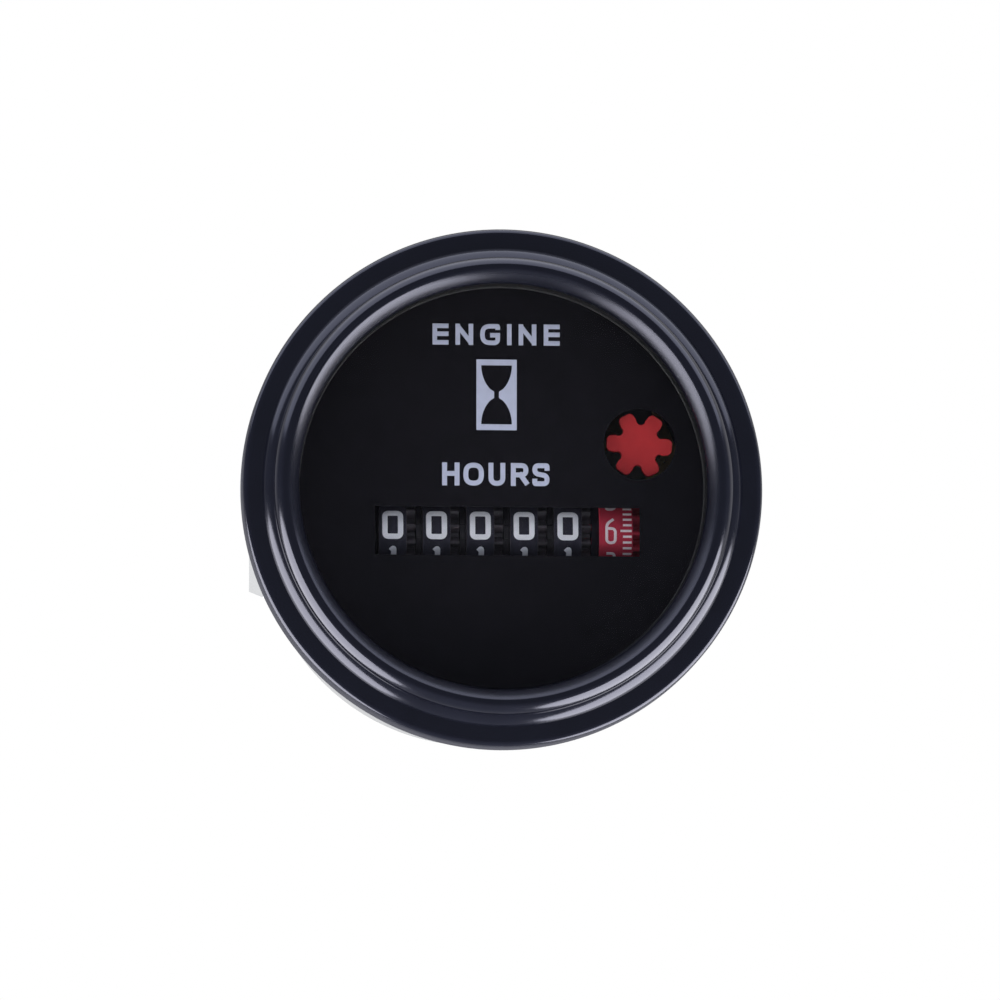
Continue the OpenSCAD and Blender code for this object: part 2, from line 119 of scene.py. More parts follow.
# %% Paint, plastic and rubber
finishes = {}
mouldings = {
    "bezel_paint": dict(colour=(0.0042, 0.0046, 0.0088), rough=0.14, grain=300, tint=0.15, bump=0.04),
    "seal_rubber": dict(colour=(0.012, 0.012, 0.013), rough=0.7, grain=900, tint=0.3, bump=0.3),
    "dial_black": dict(colour=(0.0072, 0.0062, 0.009), rough=0.6, grain=700, gloss=0.08),
    "frame_black": dict(colour=(0.03, 0.03, 0.034), rough=0.6, grain=600, bump=0.2, gloss=0.1),
    "drum_black": dict(colour=(0.033, 0.031, 0.044), rough=0.45, grain=800, tint=0.25, bump=0.12, gloss=0.1),
    "drum_red": dict(colour=(0.53, 0.036, 0.066), rough=0.45, grain=800, tint=0.08, bump=0.12, gloss=0.2),
    "star_red": dict(colour=(0.78, 0.05, 0.054), rough=0.6, grain=900, tint=0.06, bump=0.15, gloss=0.2),
    "drum_core": dict(colour=(0.055, 0.046, 0.052), rough=0.3, grain=900, tint=0.3, bump=0.15),
    "gear_white": dict(colour=(0.7, 0.69, 0.64), rough=0.45, grain=600, tint=0.05, bump=0.15),
    "board_green": dict(colour=(0.02, 0.11, 0.04), rough=0.35, grain=500, bump=0.2),
    "chip_black": dict(colour=(0.012, 0.012, 0.013), rough=0.55, grain=1200, bump=0.3),
    "capacitor_sleeve": dict(colour=(0.03, 0.045, 0.14), rough=0.25, grain=500, tint=0.15, bump=0.05),
    "resistor_tan": dict(colour=(0.5, 0.38, 0.22), rough=0.5, grain=900, tint=0.1, bump=0.2),
}
for name, look in mouldings.items():
    finishes[name] = finish(name, **look)
print("paint, plastic and rubber", len(mouldings))

# %% Metals and printing inks
metals = {
    "zinc_plate": dict(colour=(0.5, 0.51, 0.53), rough=0.25, grain=600, tint=0.05, stretch=(1, 6, 1)),
    "steel": dict(colour=(0.55, 0.55, 0.57), rough=0.25, grain=400, tint=0.08, stretch=(6, 1, 1)),
    "brass": dict(colour=(0.75, 0.58, 0.28), rough=0.28, grain=400, tint=0.08, stretch=(1, 5, 1)),
}
inks = {
    "legend_ink": dict(colour=(0.67, 0.7, 0.86), tint=0.05),
    "numeral_ink": dict(colour=(0.95, 0.95, 1.0), tint=0.03),
    "tick_ink": dict(colour=(0.95, 0.8, 0.82), tint=0.05),
}
for name, look in metals.items():
    finishes[name] = finish(name, metal=1.0, **look)
for name, look in inks.items():
    finishes[name] = finish(name, rough=0.6, grain=1500, gloss=0.1, **look)
print("finishes", len(finishes))

# %% [markdown]
# ## Satin parts of the bezel
# The front of the bezel keeps its gloss, but its outer wall is handled and
# rubbed when the meter is pressed into a panel, and goes satin. So does the
# throat, where the paint is thin. The distance from the axis, taken from the
# object's own coordinates, adds that roughness.
# The paint is a blue-black, so its gloss has a little blue too.


# %% Helpers for values in a node tree
def joined(tree, operation, first, second):
    node = tree.nodes.new("ShaderNodeMath")
    node.operation = operation
    tree.links.new(first, node.inputs[0])
    tree.links.new(second, node.inputs[1])
    return node.outputs["Value"]


def faded(tree, value, start, full, amount=1.0):
    node = tree.nodes.new("ShaderNodeMapRange")
    node.inputs["From Min"].default_value = start
    node.inputs["From Max"].default_value = full
    node.inputs["To Max"].default_value = amount
    tree.links.new(value, node.inputs["Value"])
    return node.outputs["Result"]


# %% Gloss and roughness of the bezel
GLOSS_TINT = (0.82, 0.82, 1, 1)
WALL_SATIN = (29.86, 29.97, 0.6)
THROAT_SATIN = (24.9, 24.3, 0.16)


def satin_by_radius(paint):
    tree = paint.node_tree
    shader = tree.nodes["Principled BSDF"]
    shader.inputs["Specular Tint"].default_value = GLOSS_TINT
    place = tree.nodes.new("ShaderNodeTexCoord")
    flat = tree.nodes.new("ShaderNodeMapping")
    flat.inputs["Scale"].default_value = (1, 0, 1)
    tree.links.new(place.outputs["Object"], flat.inputs["Vector"])
    radius = tree.nodes.new("ShaderNodeVectorMath")
    radius.operation = "LENGTH"
    tree.links.new(flat.outputs["Vector"], radius.inputs[0])
    rough = shader.inputs["Roughness"].links[0].from_socket
    for start, full, amount in (WALL_SATIN, THROAT_SATIN):
        satin = faded(tree, radius.outputs["Value"], start * MM, full * MM, amount)
        rough = joined(tree, "ADD", rough, satin)
    tree.links.new(rough, shader.inputs["Roughness"])


satin_by_radius(finishes["bezel_paint"])
print("bezel wall and throat made satin")

# %% [markdown]
# ## Clear lens
# The window is a thin clear disc, so little more than its faint gloss shows.
# A low alpha lets light straight through to the dial, which a solid glass
# would leave in the dark, and a slow noise keeps the gloss from looking like
# a computer's perfect plane.

# %% Lens finish
LENS_ALPHA = 0.06
lens_finish = finish("lens_clear", colour=(0.02, 0.021, 0.024), rough=0.03, grain=60, bump=0.02)
lens_finish.node_tree.nodes["Principled BSDF"].inputs["Alpha"].default_value = LENS_ALPHA
finishes["lens_clear"] = lens_finish
print("lens alpha", LENS_ALPHA)

# %% [markdown]
# ## Finishes on the CAD pieces
# The record says which finish each CAD piece takes. Pieces that are rebuilt
# further down get the same one, so nothing is left in a plain colour.

# %% Give each CAD piece its finish
slot_of = {}
for row in frame["record"]["subparts"]:
    slot_of[row["node"]] = row["material_slot"]
    mesh = nodes[row["node"]].data
    mesh.materials.clear()
    mesh.materials.append(finishes[row["material_slot"]])
print("dressed", len(slot_of), "CAD pieces")

# %% [markdown]
# ## Turned pieces
# The bezel, lens, case and rubber rings are turned shapes. Here an outline of
# radius and depth is spun once round the axis, and smooth shading with sharp
# creases keeps the curves soft and the edges crisp. Every new piece rides on
# the body it belongs to, and one that stands for a CAD piece hides it.

# %% Helpers for turned pieces
CREASE = math.radians(35)
SAME_POINT = 1e-7


def arc(centre, radius, start, stop, steps=10):
    turns = [math.radians(start + (stop - start) * i / steps) for i in range(steps + 1)]
    return [(centre[0] + radius * math.cos(a), centre[1] + radius * math.sin(a)) for a in turns]


def keep(bm, name, slot, body="housing"):
    bmesh.ops.recalc_face_normals(bm, faces=bm.faces)
    mesh = bpy.data.meshes.new(name)
    bm.to_mesh(mesh)
    bm.free()
    mesh.polygons.foreach_set("use_smooth", [True] * len(mesh.polygons))
    mesh.set_sharp_from_angle(angle=CREASE)
    mesh.materials.append(finishes[slot])
    piece = bpy.data.objects.new(name, mesh)
    bpy.context.scene.collection.objects.link(piece)
    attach(piece, body)
    return piece


def keep_for(node, bm, name, slot, body="housing"):
    piece = keep(bm, name, slot, body)
    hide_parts(node)
    return piece


def spun(outline, steps=192):
    bm = bmesh.new()
    points = [bm.verts.new((r * MM, y * MM, 0)) for r, y in outline]
    edges = [bm.edges.new((a, b)) for a, b in zip(points, points[1:] + points[:1])]
    bmesh.ops.spin(bm, geom=points + edges, axis=(0, 1, 0), angle=math.tau, steps=steps, use_merge=True)
    bmesh.ops.remove_doubles(bm, verts=bm.verts, dist=SAME_POINT)
    return bm


# %% [markdown]
# ## Bezel
# The bezel is a strip of thin metal rolled over the lens and curled in behind
# the case flange. From the rim inwards it has a flat face, a rounded step, a
# flank, a narrow crest and a slope down to the lens. Each is one arc, and arcs
# that share a tangent meet without a crease. The inside follows one sheet
# thickness behind.

# %% Sizes of the bezel
BEZEL_R = 30
BEZEL_BACK = -0.8
BEZEL_FACE = -5.4
SHEET = 0.7
CURL_IN = 26.6
CURL_FRONT = -1.4
RIM_ROUND = 0.8
EASY = 37
STEEP = 58
STEP = (25.191, -3.863)
STEP_R = 2.9
STEP_TOP = -63
FLANK = (23.904, -5.927)
FLANK_R = 2.9
CREST = (25.18, -7.62)
CREST_R = 0.78
SLOPE = (27.72, -4.25)
SLOPE_R = 5
SLOPE_END = -145
LENS_FRONT = -6.1
THROAT_R = 23.5
print("bezel", 2 * BEZEL_R, "mm across,", BEZEL_BACK - CREST[1] + CREST_R, "mm deep")

# %% Bezel
outside = (
    [(CURL_IN, BEZEL_BACK)]
    + arc((BEZEL_R - SHEET, BEZEL_BACK - SHEET), SHEET, 90, 0)
    + arc((BEZEL_R - RIM_ROUND, BEZEL_FACE + RIM_ROUND), RIM_ROUND, 0, -90, 14)
    + arc(STEP, STEP_R, STEEP - 90, STEP_TOP, 14)
    + arc(FLANK, FLANK_R, STEEP - 90, EASY - 90, 12)
    + arc(CREST, CREST_R, EASY - 90, -90 - EASY, 14)
    + arc(SLOPE, SLOPE_R, -90 - EASY, SLOPE_END, 12)
)
throat = [(THROAT_R, -6.9), (THROAT_R, LENS_FRONT), (THROAT_R + SHEET, LENS_FRONT)]
face_inside = [(27.05, -4.7), (29.0, -4.7), (29.3, -4.5), (29.3, CURL_FRONT), (CURL_IN, CURL_FRONT)]
inside = (
    arc(SLOPE, SLOPE_R - SHEET, SLOPE_END, -90 - EASY, 6)
    + arc(FLANK, FLANK_R - SHEET, EASY - 90, STEEP - 90, 6)
    + [(25.8, -6.5)]
    + arc(STEP, STEP_R - SHEET, STEP_TOP, STEEP - 90, 6)
    + face_inside
)
bezel = keep_for("bezel", spun(outside + throat + inside, 256), "rolled_bezel", "bezel_paint")
print("bezel faces", len(bezel.data.polygons))

# %% [markdown]
# ## Lens, seal and gasket
# The lens has a small bevel round each face. A flat rubber ring keeps it off
# the dial, and a second one with rounded edges seals the bezel to the panel.

# %% Lens, seal and gasket
LENS_R = 25.6
LENS_BACK = -4.1
LENS_BEVEL = 0.25
LENS_BACK_BEVEL = 0.2
DIAL_FACE = -3.6
SEAL_IN = 23.3
SEAL_OUT = 27.0
SEAL_LIP = 0.1
GASKET_IN = 26.2
GASKET_OUT = 28.8
GASKET_ROUND = 0.2
lens_outline = [(0, LENS_BACK), (0, LENS_FRONT), (LENS_R - LENS_BEVEL, LENS_FRONT)]
lens_outline += [(LENS_R, LENS_FRONT + LENS_BEVEL), (LENS_R, LENS_BACK - LENS_BACK_BEVEL)]
lens_outline += [(LENS_R - LENS_BACK_BEVEL, LENS_BACK)]
seal_outline = [(SEAL_IN, LENS_BACK + SEAL_LIP), (SEAL_IN, DIAL_FACE), (SEAL_OUT, DIAL_FACE)]
seal_outline += [(SEAL_OUT, LENS_BACK), (SEAL_IN + SEAL_LIP, LENS_BACK)]
gasket_edge = GASKET_OUT - GASKET_ROUND
gasket_outline = arc((gasket_edge, BEZEL_BACK + GASKET_ROUND), GASKET_ROUND, -90, 0, 4)
gasket_outline += arc((gasket_edge, -GASKET_ROUND), GASKET_ROUND, 0, 90, 4)
gasket_outline += [(GASKET_IN, 0), (GASKET_IN, BEZEL_BACK)]
keep_for("lens", spun(lens_outline), "clear_lens", "lens_clear")
keep_for("lens_seal", spun(seal_outline), "seal_ring", "seal_rubber")
keep_for("panel_gasket", spun(gasket_outline), "gasket_ring", "seal_rubber")
print("lens, seal and gasket turned")

# %% [markdown]
# ## Case
# The case is a can drawn from light sheet. It has a flange that the bezel is
# curled over, a slightly wider band that fits the panel, a rounded back corner
# and a shallow groove pressed into the back.

# %% Case
CASE_R = 25.6
CASE_BORE = 24.4
CASE_BACK = 41
BACK_WALL = 1.4
CASE_CORNER = 1.5
BORE_CORNER = 1.0
BAND_R = 25.9
BAND_END = 3.0
BAND_STEP = BAND_R - CASE_R
FLANGE_IN = 26.0
FLANGE_R = 29.0
FLANGE_FRONT = -3.0
FLANGE_BACK = -2.2
FLANGE_EDGE = 0.2
GROOVE_R = 21.9
GROOVE_HALF = 0.4
GROOVE_DEEP = 0.25
flange = [(FLANGE_IN, FLANGE_FRONT), (FLANGE_R - FLANGE_EDGE, FLANGE_FRONT)]
flange += [(FLANGE_R, FLANGE_FRONT + FLANGE_EDGE), (FLANGE_R, CURL_FRONT), (CASE_R, CURL_FRONT)]
band = [(CASE_R, 0), (BAND_R, 0), (BAND_R, BAND_END), (CASE_R, BAND_END + BAND_STEP)]
corner = arc((CASE_R - CASE_CORNER, CASE_BACK - CASE_CORNER), CASE_CORNER, 0, 90, 12)
groove = [(GROOVE_R + GROOVE_HALF, CASE_BACK), (GROOVE_R, CASE_BACK - GROOVE_DEEP)]
groove += [(GROOVE_R - GROOVE_HALF, CASE_BACK)]
floor_y = CASE_BACK - BACK_WALL
bore = [(0, CASE_BACK), (0, floor_y), (CASE_BORE - BORE_CORNER, floor_y)]
bore += [(CASE_BORE, floor_y - BORE_CORNER), (CASE_BORE, FLANGE_BACK), (FLANGE_IN, FLANGE_BACK)]
case = keep_for("case", spun(flange + band + corner + groove + bore), "drawn_case", "zinc_plate")
print("case faces", len(case.data.polygons))

# %% [markdown]
# ## Softened edges
# Stamped and moulded pieces never have razor edges. A copy of the CAD mesh is
# merged into clean faces and every hard edge gets a narrow round, which is
# what catches a thin line of light. Large faces are shaded flat, so that sheet
# metal doesn't look bulged.

# %% Helpers for softened copies
CAD_WELD = 1e-6
COPLANAR = math.radians(1)
HARD_EDGE = math.radians(40)
FLAT_AREA = 20 * MM * MM


def welded(node):
    bm = bmesh.new()
    bm.from_mesh(nodes[node].data)
    bmesh.ops.remove_doubles(bm, verts=bm.verts, dist=CAD_WELD)
    bmesh.ops.dissolve_limit(bm, angle_limit=COPLANAR, verts=bm.verts, edges=bm.edges)
    return bm


def softened(node, width, name):
    bm = welded(node)
    hard = [e for e in bm.edges if e.is_manifold and e.calc_face_angle() > HARD_EDGE]
    bmesh.ops.bevel(
        bm, geom=hard, offset=width * MM, segments=2, profile=0.5, affect="EDGES",
        material=-1, clamp_overlap=True,
    )
    piece = keep_for(node, bm, name, slot_of[node])
    for face in piece.data.polygons:
        face.use_smooth = face.area < FLAT_AREA


# %% Bracket, fixings and terminals
SHEET_EDGE = 0.18
MOULDED_EDGE = 0.25
NUT_EDGE = 0.25
STAMPED_EDGE = 0.12
softened("clamp_bracket", SHEET_EDGE, "bent_bracket")
softened("terminal_insulator", MOULDED_EDGE, "moulded_insulator")
for side in ("left", "right"):
    softened("nut_" + side, NUT_EDGE, "hex_nut_" + side)
    softened("washer_" + side, STAMPED_EDGE, "flat_washer_" + side)
    softened("terminal_" + side, STAMPED_EDGE, "blade_" + side)
print("bracket, insulator and fixings softened")

# %% [markdown]
# ## Threaded studs
# The two studs are M4 with a pitch of 0.7 mm. A thread is one tooth carried
# round and along at the same time, so a short zigzag of one pitch is spun
# for many turns with a small step along the axis. Both ends are then cut
# square and closed, and a turned tip and foot go over them.


# %% A helper that adds one mesh to another
def gather(target, extra):
    part = bpy.data.meshes.new("gathered")
    extra.to_mesh(part)
    extra.free()
    target.from_mesh(part)
    bpy.data.meshes.remove(part)


# %% Studs
STUD_X = 16.5
STUD_END = 54.0
THREAD_PITCH = 0.7
THREAD_START = 41.1
THREAD_TURNS = 18
THREAD_STEPS = 32
THREAD_CUTS = ((41.8, -1), (53.4, 1))
END_STEPS = 48
tooth = [(1.62, 0), (1.98, 0.3), (1.98, 0.4), (1.62, THREAD_PITCH)]
stud_tip = [(0, 53.3), (1.95, 53.3), (1.95, 53.4), (1.5, STUD_END), (0, STUD_END)]
stud_foot = [(0, CASE_BACK), (3.2, CASE_BACK), (3.2, 41.5), (2.9, 41.8), (2.0, 42.0), (0, 42.0)]


def stud(side, x):
    bm = bmesh.new()
    points = [bm.verts.new((r * MM, (THREAD_START + y) * MM, 0)) for r, y in tooth]
    edges = [bm.edges.new(pair) for pair in zip(points, points[1:])]
    bmesh.ops.spin(
        bm, geom=points + edges, axis=(0, 1, 0), dvec=(0, THREAD_PITCH * MM / THREAD_STEPS, 0),
        angle=math.tau * THREAD_TURNS, steps=THREAD_STEPS * THREAD_TURNS,
    )
    bmesh.ops.remove_doubles(bm, verts=bm.verts, dist=CAD_WELD)
    for height, way in THREAD_CUTS:
        bmesh.ops.bisect_plane(
            bm, geom=bm.verts[:] + bm.edges[:] + bm.faces[:], plane_co=(0, height * MM, 0),
            plane_no=(0, way, 0), clear_outer=True,
        )
    bmesh.ops.holes_fill(bm, edges=[e for e in bm.edges if e.is_boundary], sides=0)
    for end in (stud_tip, stud_foot):
        gather(bm, spun(end, END_STEPS))
    bmesh.ops.translate(bm, verts=bm.verts, vec=(x * MM, 0, 0))
    keep_for("stud_" + side, bm, "threaded_stud_" + side, "zinc_plate")


stud("left", -STUD_X)
stud("right", STUD_X)
print("studs threaded")

# %% [markdown]
# ## Number drums
# Each drum is a moulded wheel whose rim is printed with ten numerals. The CAD
# drum stays for its gear and carry teeth, and a smooth printed skin with
# rounded shoulders is turned over its rim, a hundredth of a millimetre proud.

# %% Places of the drums
DRUM_R = 6.4
DRUM_Y = 3.7
DRUM_Z = -4.9
DRUM_PITCH = 5.05
TENTHS_X = 12.75
drum_names = ["tenths", "units", "tens", "hundreds", "thousands", "ten_thousands"]
drum_x = {name: TENTHS_X - DRUM_PITCH * i for i, name in enumerate(drum_names)}
print("drums", drum_x)

# %% Rim skins
RIM_PROUD = 0.012
RIM_IN = 6.2
SHOULDER = 0.1
BLACK_EDGES = (-1.6, 1.62)
RED_EDGES = (-1.42, 2.47)
RIM_STEPS = 160


def on_drum_axis(bm, name):
    place = Matrix.Translation((drum_x[name] * MM, DRUM_Y * MM, DRUM_Z * MM))
    bmesh.ops.transform(bm, matrix=place @ Matrix.Rotation(-math.pi / 2, 4, "Z"), verts=bm.verts)


def rim(name, slot, left, right):
    shoulder_r = DRUM_R + RIM_PROUD - SHOULDER
    outline = [(RIM_IN, left)] + arc((shoulder_r, left + SHOULDER), SHOULDER, -90, 0, 4)
    outline += arc((shoulder_r, right - SHOULDER), SHOULDER, 0, 90, 4) + [(RIM_IN, right)]
    skin = spun(outline, RIM_STEPS)
    on_drum_axis(skin, name)
    keep(skin, name + "_rim", slot, name + "_drum")


rim("tenths", "drum_red", *RED_EDGES)
for name in drum_names[1:]:
    rim(name, "drum_black", *BLACK_EDGES)
    nodes[name + "_drum"].data.materials[0] = finishes["drum_core"]
print("rims on", len(drum_names), "drums")

# %% Black collar beside the red rim, painted shade in the recess
SHADE_COLLAR_R = 5.12
SHADE_COLLAR_BORE = 2
SHADE_COLLAR_LEFT = -2.27
SHADE_COLLAR_RIGHT = -1.2
SHADE_COLLAR_STEPS = 96
# The collar is painted shade: a black ring over the red carry disc, so the recess beside the red rim reads
# dark where shade falls.
shade_collar_outline = arc((SHADE_COLLAR_R - SHOULDER, SHADE_COLLAR_LEFT + SHOULDER), SHOULDER, -90, 0, 4)
shade_collar_outline += [(SHADE_COLLAR_R, SHADE_COLLAR_RIGHT), (SHADE_COLLAR_BORE, SHADE_COLLAR_RIGHT), (SHADE_COLLAR_BORE, SHADE_COLLAR_LEFT)]
shade_collar = spun(shade_collar_outline, SHADE_COLLAR_STEPS)
on_drum_axis(shade_collar, "tenths")
keep(shade_collar, "tenths_shade_collar", "drum_black", "tenths_drum")
print("shade_collar", SHADE_COLLAR_RIGHT - SHADE_COLLAR_LEFT, "mm wide")

# %% [markdown]
# ## Numerals
# The numerals are printed strokes of one width with rounded corners. Each one
# is drawn as a few corner points in a unit box, the corners are rounded, a
# tube follows the line, and the tube is pressed flat and bent round the drum.

# %% Lines with rounded corners
CORNER_STEPS = 6
LONGEST_STEP = 0.25


def rounded(points, radius, closed=False):
    count = len(points)
    path = []
    for i, corner in enumerate(points):
        if not closed and i in (0, count - 1):
            path.append(Vector(corner))
            continue
        here = Vector(corner)
        back = Vector(points[i - 1]) - here
        ahead = Vector(points[(i + 1) % count]) - here
        cut = min(radius, back.length * 0.5, ahead.length * 0.5)
        first = here + back.normalized() * cut
        last = here + ahead.normalized() * cut
        for k in range(CORNER_STEPS + 1):
            t = k / CORNER_STEPS
            path.append(first * (1 - t) ** 2 + here * (2 * t * (1 - t)) + last * t**2)
    return path


def dense(path, closed):
    ends = path[1:] + path[:1] if closed else path[1:]
    filled = []
    for here, ahead in zip(path, ends):
        count = max(1, math.ceil((ahead - here).length / LONGEST_STEP))
        filled += [here.lerp(ahead, k / count) for k in range(count)]
    return filled if closed else filled + [path[-1]]


# %% Strokes of the ten numerals
box = [(-0.5, 0.5), (0.5, 0.5), (0.5, -0.5), (-0.5, -0.5)]
two = [(-0.5, 0.25), (-0.5, 0.5), (0.5, 0.5), (0.5, 0.02), (-0.5, -0.5), (0.5, -0.5)]
three_top = [(-0.5, 0.3), (-0.5, 0.5), (0.5, 0.5), (0.5, 0.03), (-0.1, 0.03)]
three_low = [(-0.1, 0.03), (0.5, 0.03), (0.5, -0.5), (-0.5, -0.5), (-0.5, -0.3)]
five_top = [(0.45, 0.5), (-0.42, 0.5), (-0.46, 0.08)]
five_low = [(0.5, 0.08), (0.5, -0.5), (-0.5, -0.5), (-0.5, -0.3)]
six = [(0.3, 0.5), (-0.5, 0.3), (-0.5, -0.5), (0.5, -0.5), (0.5, 0.1), (-0.5, 0.1)]
eight_top = [(-0.44, 0.5), (0.44, 0.5), (0.44, 0.04), (-0.44, 0.04)]
eight_low = [(-0.5, 0.04), (0.5, 0.04), (0.5, -0.5), (-0.5, -0.5)]
strokes = [
    [box],
    [[(-0.12, 0.36), (0.08, 0.5), (0.08, -0.5)]],
    [two],
    [three_top, three_low],
    [[(0.25, -0.5), (0.25, 0.5), (-0.5, -0.2), (0.5, -0.2)]],
    [five_top + five_low],
    [six],
    [[(-0.5, 0.5), (0.5, 0.5), (-0.1, -0.5)]],
    [eight_top, eight_low],
    [[(-x, -z) for x, z in six]],
]
closed_digits = (0, 8)
print("numerals drawn", len(strokes))

# %% Flat printed lines
PRINT_THICK = 0.03
PRINT_ROUND = 2


def meshed(curve, lines):
    for path, closed in lines:
        spline = curve.splines.new("POLY")
        spline.points.add(len(path) - 1)
        spline.use_cyclic_u = closed
        for point, place in zip(spline.points, path):
            point.co = (place[0] * MM, place[1] * MM, 0, 1)
    holder = bpy.data.objects.new(curve.name, curve)
    mesh = bpy.data.meshes.new_from_object(holder)
    bm = bmesh.new()
    bm.from_mesh(mesh)
    bmesh.ops.remove_doubles(bm, verts=bm.verts, dist=SAME_POINT)
    bpy.data.objects.remove(holder)
    bpy.data.curves.remove(curve)
    bpy.data.meshes.remove(mesh)
    return bm


def printed(lines, width):
    curve = bpy.data.curves.new("print_line", "CURVE")
    curve.dimensions = "3D"
    curve.bevel_depth = width / 2 * MM
    curve.bevel_resolution = PRINT_ROUND
    curve.use_fill_caps = True
    bm = meshed(curve, lines)
    bmesh.ops.scale(bm, vec=(1, 1, PRINT_THICK / width), verts=bm.verts)
    return bm


# %% Print bent round a drum
PRINT_R = DRUM_R + 0.014


def wrap(bm, x, turn):
    for vert in bm.verts:
        angle = math.radians(turn) + vert.co.y / (PRINT_R * MM)
        reach = PRINT_R * MM + vert.co.z
        vert.co = (
            x * MM + vert.co.x,
            DRUM_Y * MM - reach * math.cos(angle),
            DRUM_Z * MM + reach * math.sin(angle),
        )


def numeral(digit, wide, high, corner, width):
    closed = digit in closed_digits
    lines = []
    for points in strokes[digit]:
        sized = [(x * (wide - width), z * (high - width)) for x, z in points]
        lines.append((dense(rounded(sized, corner, closed), closed), closed))
    return printed(lines, width)


# %% Thin numerals and minute ticks on the red drum
DIGIT_TURN = 36
RED_LIFT = 2.3
RED_SHIFT = -0.06
SHOWN_TENTH = 6
MINUTE_TURN = 6
TICK_RIGHT = 2.32
TICK_WIDTH = 0.26
TICK_SHORT = 1.0
TICK_LONG = 1.3
print_on_drum = bmesh.new()
for digit in range(10):
    glyph = numeral(digit, wide=1.32, high=3.1, corner=0.6, width=0.32)
    wrap(glyph, TENTHS_X + RED_SHIFT, RED_LIFT - DIGIT_TURN * (digit - SHOWN_TENTH))
    gather(print_on_drum, glyph)
for minute in range(60):
    length = TICK_LONG if minute % 6 == 0 else TICK_SHORT
    tick = printed([([(TICK_RIGHT - length, 0), (TICK_RIGHT, 0)], False)], TICK_WIDTH)
    wrap(tick, TENTHS_X, RED_LIFT + MINUTE_TURN * minute)
    gather(print_on_drum, tick)
keep(print_on_drum, "tenths_numerals", "tick_ink", "tenths_drum")
print("tenths drum printed")

# %% White numerals on the black drums
BLACK_LIFT = 7
for name in drum_names[1:]:
    print_on_drum = bmesh.new()
    for digit in range(10):
        glyph = numeral(digit, wide=2.42, high=3.36, corner=0.45, width=0.62)
        wrap(glyph, drum_x[name], BLACK_LIFT - DIGIT_TURN * digit)
        gather(print_on_drum, glyph)
    keep(print_on_drum, name + "_numerals", "numeral_ink", name + "_drum")
print("numerals on", len(drum_names) - 1, "black drums")

# %% [markdown]
# ## Dial legend
# The dial has a plain legend in white print: a word, an hourglass sign in a
# frame, and the unit. The letters are drawn with the numerals' strokes, with
# square ends, and the hourglass is cut out of the white frame.

# %% Letters
stem = ([(-0.5, 0.5), (-0.5, -0.5)], 0)
far_stem = ([(0.5, 0.5), (0.5, -0.5)], 0)
g_bow = [(0.5, 0.42), (0.5, 0.5), (-0.5, 0.5), (-0.5, -0.5), (0.5, -0.5), (0.5, -0.04)]
r_bow = [(-0.5, 0.5), (0.45, 0.5), (0.45, -0.02), (-0.5, -0.02)]
s_top = [(0.5, 0.36), (0.5, 0.5), (-0.5, 0.5), (-0.5, 0.06)]
s_low = [(-x, -z) for x, z in reversed(s_top)]
letter_lines = {
    "E": [stem] + [([(-0.5, z), (0.5, z)], 0) for z in (0.5, 0.02, -0.5)],
    "N": [stem, far_stem, ([(-0.42, 0.42), (0.42, -0.42)], 0)],
    "G": [(g_bow, 0.9), ([(0.5, -0.04), (0.15, -0.04)], 0)],
    "I": [([(0, 0.5), (0, -0.5)], 0)],
    "H": [stem, far_stem, ([(-0.5, 0.03), (0.5, 0.03)], 0)],
    "O": [(box, 0.9)],
    "U": [([(-0.5, 0.5), (-0.5, -0.5), (0.5, -0.5), (0.5, 0.5)], 0.8)],
    "R": [stem, (r_bow, 0.6), ([(0.05, -0.02), (0.46, -0.44)], 0)],
    "S": [(s_top + s_low, 0.8)],
}
print("letters drawn", len(letter_lines))

# %% Words on the dial
LEGEND_Y = DIAL_FACE - 0.005


def on_dial(bm, name):
    bmesh.ops.rotate(bm, verts=bm.verts, matrix=Matrix.Rotation(math.pi / 2, 3, "X"))
    bmesh.ops.translate(bm, verts=bm.verts, vec=(0, LEGEND_Y * MM, 0))
    keep(bm, name, "legend_ink")


def squared(path, width):
    first = path[0] + (path[0] - path[1]).normalized() * width / 2
    last = path[-1] + (path[-1] - path[-2]).normalized() * width / 2
    return [first] + path[1:-1] + [last]


def word(letters, name, z, high, width):
    lines = []
    for letter, left, wide in letters:
        middle = left + wide / 2
        ring = letter == "O"
        for points, corner in letter_lines[letter]:
            sized = [(px * (wide - width), z + pz * (high - width)) for px, pz in points]
            path = rounded(sized, corner, ring)
            ends = path if ring else squared(path, width)
            lines.append(([(p[0] + middle, p[1]) for p in ends], ring))
    on_dial(printed(lines, width), name)


upper = [("E", -8.0, 1.85), ("N", -5.35, 2.05), ("G", -2.5, 2.3)]
upper += [("I", 0.6, 0.55), ("N", 1.95, 2.05), ("E", 4.85, 1.85)]
unit = [("H", -6.88, 2.01), ("O", -4.43, 2.36), ("U", -1.53, 1.94), ("R", 1.05, 2.1), ("S", 3.53, 1.98)]
word(upper, "upper_word", z=17.9, high=2.45, width=0.53)
word(unit, "unit_word", z=1.68, high=2.66, width=0.57)
print("words printed")

